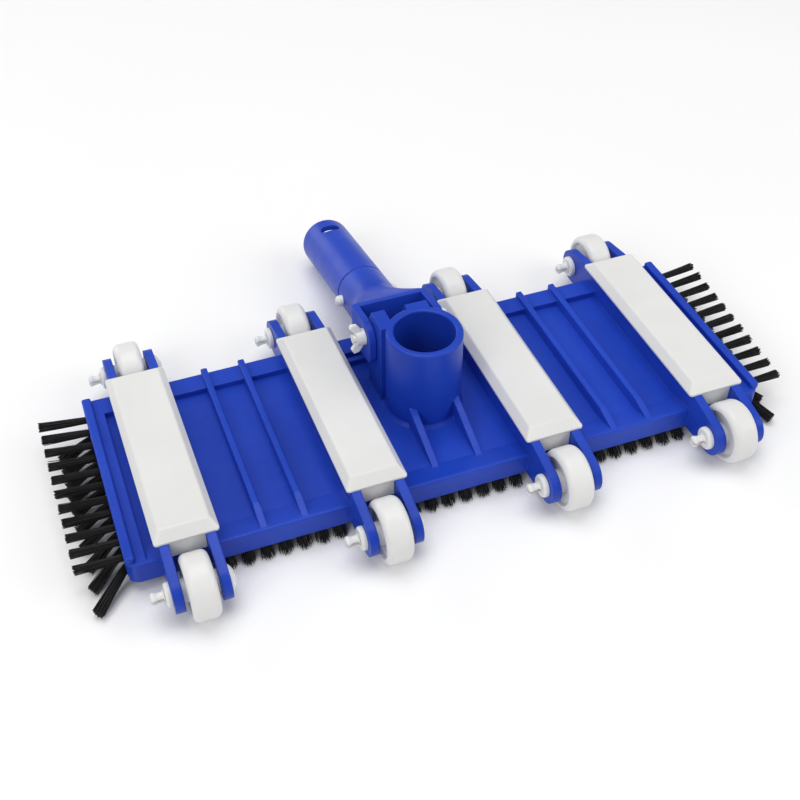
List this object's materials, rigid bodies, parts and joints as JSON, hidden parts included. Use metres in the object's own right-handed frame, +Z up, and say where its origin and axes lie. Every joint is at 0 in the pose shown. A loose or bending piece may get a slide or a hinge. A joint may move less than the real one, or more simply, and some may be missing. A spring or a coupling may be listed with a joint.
{
  "type": "pool vacuum head",
  "caption": "Weighted pool vacuum head: a ribbed tray with covered weights, wheels in forked ears, brushes, a central hose neck and a hinged pole handle.",
  "frame": {"origin": "under the middle of the whole part's box, on the ground that the wheels stand on; the hose neck's axis is at y = -31.11 mm", "axes": "+X along the head, +Y towards the pole handle, +Z up"},
  "size_m": [0.3764, 0.2426, 0.0626],
  "materials": {
    "blue_plastic": "satin moulded",
    "white_plastic": "satin moulded",
    "black_bristle": "nylon filament",
    "spring_steel": "plain",
    "cast_iron": "as cast"
  },
  "bodies": {
    "head": {"base_plate": "blue_plastic", "pivot_bolt": "white_plastic", "weight_cover_1": "white_plastic", "ballast_1": "cast_iron", "axle_pin_front_1": "white_plastic", "axle_cap_front_1": "white_plastic", "axle_pin_rear_1": "white_plastic", "axle_cap_rear_1": "white_plastic", "weight_cover_2": "white_plastic", "ballast_2": "cast_iron", "axle_pin_front_2": "white_plastic", "axle_cap_front_2": "white_plastic", "axle_pin_rear_2": "white_plastic", "axle_cap_rear_2": "white_plastic", "weight_cover_3": "white_plastic", "ballast_3": "cast_iron", "axle_pin_front_3": "white_plastic", "axle_cap_front_3": "white_plastic", "axle_pin_rear_3": "white_plastic", "axle_cap_rear_3": "white_plastic", "weight_cover_4": "white_plastic", "ballast_4": "cast_iron", "axle_pin_front_4": "white_plastic", "axle_cap_front_4": "white_plastic", "axle_pin_rear_4": "white_plastic", "axle_cap_rear_4": "white_plastic", "side_bristles_left": "black_bristle", "side_bristles_right": "black_bristle", "under_bristles_front": "black_bristle", "under_bristles_rear": "black_bristle"},
    "handle": {"handle_yoke": "blue_plastic", "spring_clip": "spring_steel"},
    "nut": {"wing_nut": "white_plastic"},
    "left_button": {"snap_button_left": "white_plastic"},
    "right_button": {"snap_button_right": "white_plastic"},
    "wheel_front_1_body": {"wheel_front_1": "white_plastic"},
    "wheel_rear_1_body": {"wheel_rear_1": "white_plastic"},
    "wheel_front_2_body": {"wheel_front_2": "white_plastic"},
    "wheel_rear_2_body": {"wheel_rear_2": "white_plastic"},
    "wheel_front_3_body": {"wheel_front_3": "white_plastic"},
    "wheel_rear_3_body": {"wheel_rear_3": "white_plastic"},
    "wheel_front_4_body": {"wheel_front_4": "white_plastic"},
    "wheel_rear_4_body": {"wheel_rear_4": "white_plastic"}
  },
  "joints": [
    {"name": "handle_swing", "type": "hinge", "parent": "head", "child": "handle", "pos_m": [-0.0031, -0.00961, 0.049], "axis": [1, 0, 0], "range_deg": [0, 100]},
    {"name": "wing_nut_turn", "type": "hinge", "parent": "head", "child": "nut", "pos_m": [-0.027, -0.00961, 0.049], "axis": [-1, 0, 0], "range_deg": [0, 720]},
    {"name": "left_button_press", "type": "slide", "parent": "handle", "child": "left_button", "axis": [1, 0, 0], "range_m": [0, 0.0032], "stiffness_N_per_m": 1200, "springref_m": -0.0015, "deforming": ["spring_clip"]},
    {"name": "right_button_press", "type": "slide", "parent": "handle", "child": "right_button", "axis": [-1, 0, 0], "range_m": [0, 0.0032], "stiffness_N_per_m": 1200, "springref_m": -0.0015, "deforming": ["spring_clip"]},
    {"name": "wheel_front_1_spin", "type": "hinge", "parent": "head", "child": "wheel_front_1_body", "pos_m": [-0.1357, -0.10571, 0.0156], "axis": [1, 0, 0], "continuous": true},
    {"name": "wheel_rear_1_spin", "type": "hinge", "parent": "head", "child": "wheel_rear_1_body", "pos_m": [-0.1357, 0.04349, 0.0156], "axis": [1, 0, 0], "continuous": true},
    {"name": "wheel_front_2_spin", "type": "hinge", "parent": "head", "child": "wheel_front_2_body", "pos_m": [-0.0457, -0.10571, 0.0156], "axis": [1, 0, 0], "continuous": true},
    {"name": "wheel_rear_2_spin", "type": "hinge", "parent": "head", "child": "wheel_rear_2_body", "pos_m": [-0.0457, 0.04349, 0.0156], "axis": [1, 0, 0], "continuous": true},
    {"name": "wheel_front_3_spin", "type": "hinge", "parent": "head", "child": "wheel_front_3_body", "pos_m": [0.0457, -0.10571, 0.0156], "axis": [1, 0, 0], "continuous": true},
    {"name": "wheel_rear_3_spin", "type": "hinge", "parent": "head", "child": "wheel_rear_3_body", "pos_m": [0.0457, 0.04349, 0.0156], "axis": [1, 0, 0], "continuous": true},
    {"name": "wheel_front_4_spin", "type": "hinge", "parent": "head", "child": "wheel_front_4_body", "pos_m": [0.1357, -0.10571, 0.0156], "axis": [1, 0, 0], "continuous": true},
    {"name": "wheel_rear_4_spin", "type": "hinge", "parent": "head", "child": "wheel_rear_4_body", "pos_m": [0.1357, 0.04349, 0.0156], "axis": [1, 0, 0], "continuous": true}
  ]
}
